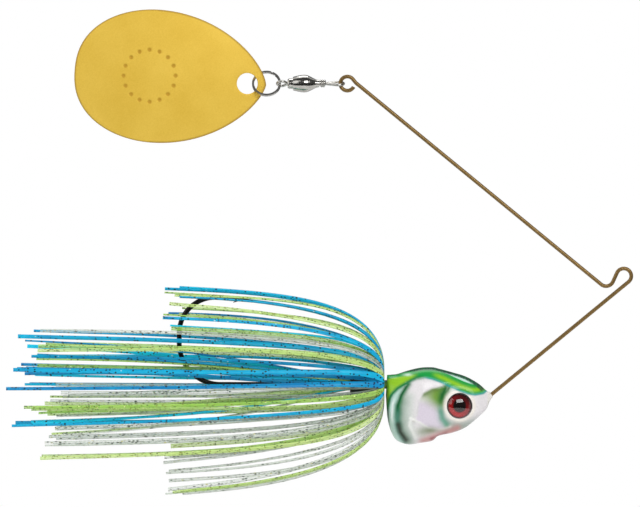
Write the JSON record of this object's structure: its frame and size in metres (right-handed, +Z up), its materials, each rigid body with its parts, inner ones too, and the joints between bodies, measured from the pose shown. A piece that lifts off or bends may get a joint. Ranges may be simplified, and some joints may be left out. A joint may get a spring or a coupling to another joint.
{
  "type": "spinnerbait",
  "caption": "Fishing lure on a V of bent wire: a cast fish head with hook and strand skirt on the lower arm, a swivel, split ring and dished blade on the upper arm.",
  "frame": {"origin": "centre of the line tie, the bend where the two arms of the wire meet", "axes": "+X forward, the way the bait is pulled; +Z up, towards the blade arm; the mid-plane of the bait is y = 0"},
  "size_m": [0.1635, 0.0341, 0.1269],
  "materials": {
    "wire": "bronze coated",
    "head_paint": "pearl and green paint under gloss",
    "hook_black": "black nickel",
    "eye_print": "printed foil",
    "eye_lens": "clear dome",
    "collar_rubber": "matte",
    "strand_blue": "flaked silicone",
    "strand_chartreuse": "flaked silicone",
    "strand_clear": "flaked clear silicone",
    "swivel_nickel": "bright nickel",
    "ball_steel": "polished",
    "ring_steel": "bright",
    "blade_gold": "satin gold plate"
  },
  "bodies": {
    "frame": {"wire_frame": "wire", "head": "head_paint", "hook": "hook_black", "left_eye_disc": "eye_print", "right_eye_disc": "eye_print", "left_eye_lens": "eye_lens", "right_eye_lens": "eye_lens", "skirt_collar": "collar_rubber", "skirt_blue_bloom_left": "strand_blue", "skirt_blue_bloom_right": "strand_blue", "skirt_blue_body_left": "strand_blue", "skirt_blue_body_right": "strand_blue", "skirt_blue_tail_left": "strand_blue", "skirt_blue_tail_right": "strand_blue", "skirt_chartreuse_bloom_left": "strand_chartreuse", "skirt_chartreuse_bloom_right": "strand_chartreuse", "skirt_chartreuse_body_left": "strand_chartreuse", "skirt_chartreuse_body_right": "strand_chartreuse", "skirt_chartreuse_tail_left": "strand_chartreuse", "skirt_chartreuse_tail_right": "strand_chartreuse", "skirt_clear_bloom_left": "strand_clear", "skirt_clear_bloom_right": "strand_clear", "skirt_clear_body_left": "strand_clear", "skirt_clear_body_right": "strand_clear", "skirt_clear_tail_left": "strand_clear", "skirt_clear_tail_right": "strand_clear"},
    "arm_link": {"arm_eye": "swivel_nickel"},
    "barrel": {"swivel_barrel": "swivel_nickel", "swivel_cap": "swivel_nickel"},
    "balls": {"bearing_balls": "ball_steel"},
    "blade_link": {"blade_eye": "swivel_nickel"},
    "ring": {"split_ring": "ring_steel"},
    "spinner": {"blade": "blade_gold"}
  },
  "joints": [
    {"name": "swivel_swing", "type": "hinge", "parent": "frame", "child": "arm_link", "pos_m": [-0.07339, 0, 0.05042], "axis": [0, 1, 0], "range_deg": [-60, 110]},
    {"name": "barrel_spin", "type": "hinge", "parent": "arm_link", "child": "barrel", "pos_m": [-0.08669, 0, 0.05042], "axis": [1, 0, 0], "continuous": true},
    {"name": "blade_spin", "type": "hinge", "parent": "barrel", "child": "blade_link", "pos_m": [-0.08669, 0, 0.05042], "axis": [1, 0, 0], "continuous": true},
    {"name": "ball_roll", "type": "hinge", "parent": "barrel", "child": "balls", "pos_m": [-0.08481, 0, 0.05042], "axis": [1, 0, 0], "continuous": true},
    {"name": "ring_swing", "type": "hinge", "parent": "blade_link", "child": "ring", "pos_m": [-0.09079, 0, 0.05042], "axis": [0, 0.866, -0.5], "range_deg": [-55, 55]},
    {"name": "blade_swing", "type": "hinge", "parent": "ring", "child": "spinner", "pos_m": [-0.09715, 0, 0.05042], "axis": [0, 0.5, 0.866], "range_deg": [-20, 15]}
  ],
  "couplings": [
    {"joint": "ball_roll", "follows": "blade_spin", "ratio": 0.5}
  ]
}
